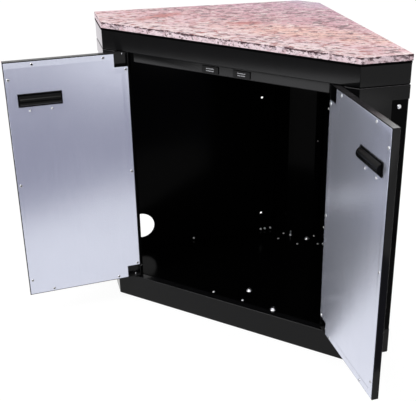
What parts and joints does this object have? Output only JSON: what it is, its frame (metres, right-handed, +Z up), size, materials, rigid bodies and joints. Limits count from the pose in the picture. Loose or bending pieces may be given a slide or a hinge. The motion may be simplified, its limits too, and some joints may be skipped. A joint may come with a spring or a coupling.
{
  "type": "outdoor kitchen corner cabinet",
  "caption": "Five-sided corner cabinet of an outdoor kitchen: black folded steel body, inset pivot doors standing open, magnetic catches and a polished granite top.",
  "frame": {"origin": "middle of the cabinet's front at floor level, in the plane of the closed front", "axes": "+X to the cabinet's right as seen from the front, +Y from the front to the rear corner, +Z up"},
  "size_m": [1.1562, 0.8262, 0.914],
  "materials": {
    "granite": "polished pink granite with red and dark grains",
    "black_paint": "gloss black stoved paint on folded steel sheet",
    "galvanised": "satin galvanised steel sheet",
    "zinc_steel": "bright zinc plated steel",
    "black_plastic": "satin black moulded plastic"
  },
  "bodies": {
    "cabinet": {"granite_slab": "granite", "fascia": "black_paint", "top_rail_rear": "black_paint", "header_rail": "black_paint", "back_panel": "black_paint", "plinth_front": "black_paint", "plinth_rear": "black_paint", "floor_pan": "black_paint", "top_rail_left": "black_paint", "worktop_bearer_left": "black_paint", "pilaster_left": "black_paint", "side_panel_left": "black_paint", "joining_bolt_left": "zinc_steel", "plinth_left": "black_paint", "base_bearer_left": "black_paint", "pivot_bush_upper_left": "black_plastic", "pivot_bush_lower_left": "black_plastic", "magnet_catch_left": "black_plastic", "magnet_pole_lower_left": "zinc_steel", "magnet_pole_upper_left": "zinc_steel", "levelling_foot_front_left": "zinc_steel", "foot_nut_front_left": "zinc_steel", "levelling_foot_rear_left": "zinc_steel", "foot_nut_rear_left": "zinc_steel", "top_rail_right": "black_paint", "worktop_bearer_right": "black_paint", "pilaster_right": "black_paint", "side_panel_right": "black_paint", "joining_bolt_right": "zinc_steel", "plinth_right": "black_paint", "base_bearer_right": "black_paint", "pivot_bush_upper_right": "black_plastic", "pivot_bush_lower_right": "black_plastic", "magnet_catch_right": "black_plastic", "magnet_pole_lower_right": "zinc_steel", "magnet_pole_upper_right": "zinc_steel", "levelling_foot_front_right": "zinc_steel", "foot_nut_front_right": "zinc_steel", "levelling_foot_rear_right": "zinc_steel", "foot_nut_rear_right": "zinc_steel"},
    "left_door": {"left_door_skin": "black_paint", "left_door_liner": "galvanised", "left_door_pull": "black_plastic", "left_pull_ring": "black_plastic", "left_hinge_pocket_upper": "black_paint", "left_hinge_pocket_lower": "black_paint", "left_pivot_pin_upper": "zinc_steel", "left_pivot_pin_lower": "zinc_steel"},
    "right_door": {"right_door_skin": "black_paint", "right_door_liner": "galvanised", "right_door_pull": "black_plastic", "right_pull_ring": "black_plastic", "right_hinge_pocket_upper": "black_paint", "right_hinge_pocket_lower": "black_paint", "right_pivot_pin_upper": "zinc_steel", "right_pivot_pin_lower": "zinc_steel"}
  },
  "joints": [
    {"name": "left_door_hinge", "type": "hinge", "parent": "cabinet", "child": "left_door", "pos_m": [-0.3408, 0.0065, 0], "axis": [0, 0, 1], "range_deg": [-12.9, 131.1]},
    {"name": "right_door_hinge", "type": "hinge", "parent": "cabinet", "child": "right_door", "pos_m": [0.3408, 0.0065, 0], "axis": [0, 0, 1], "range_deg": [-135.95, 8.05]}
  ]
}
